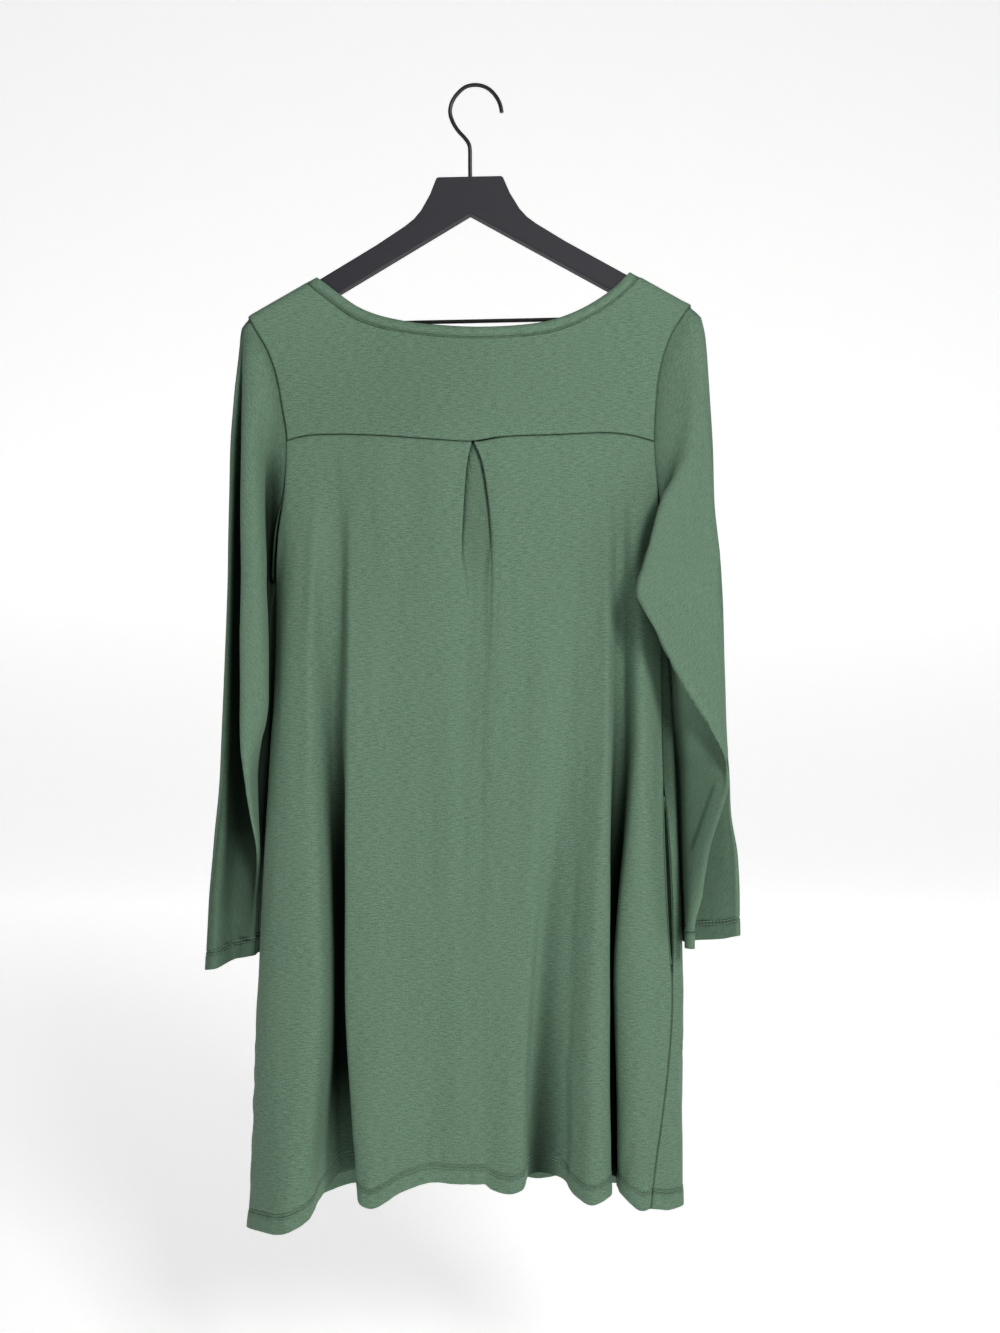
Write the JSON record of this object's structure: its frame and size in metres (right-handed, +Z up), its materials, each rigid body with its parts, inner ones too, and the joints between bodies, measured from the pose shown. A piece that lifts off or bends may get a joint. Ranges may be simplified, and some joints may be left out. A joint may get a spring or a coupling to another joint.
{
  "type": "swing dress on a hanger",
  "caption": "Long-sleeved swing dress with a back yoke and inverted pleat, hanging flat on a plain painted hanger with a wire hook.",
  "frame": {"origin": "inside of the hook's crown, where the hanger is held", "axes": "+Z up the hanging dress, +Y towards the wall side, which is the dress's front; its back faces -Y and the wearer's left is at -X"},
  "size_m": [0.5042, 0.1014, 1.0829],
  "materials": {
    "green_jersey": "smooth viscose jersey",
    "pocket_jersey": "smooth viscose jersey",
    "charcoal_paint": "matt charcoal paint",
    "black_wire": "satin black"
  },
  "bodies": {
    "root": {"back_yoke": "green_jersey", "back_panel": "green_jersey", "front_panel": "green_jersey", "sleeve_left": "green_jersey", "sleeve_right": "green_jersey", "neckband": "green_jersey", "pocket_left": "pocket_jersey", "pocket_right": "pocket_jersey", "hanger_body": "charcoal_paint", "hanger_bar": "black_wire", "hanger_hook": "black_wire"}
  },
  "joints": []
}
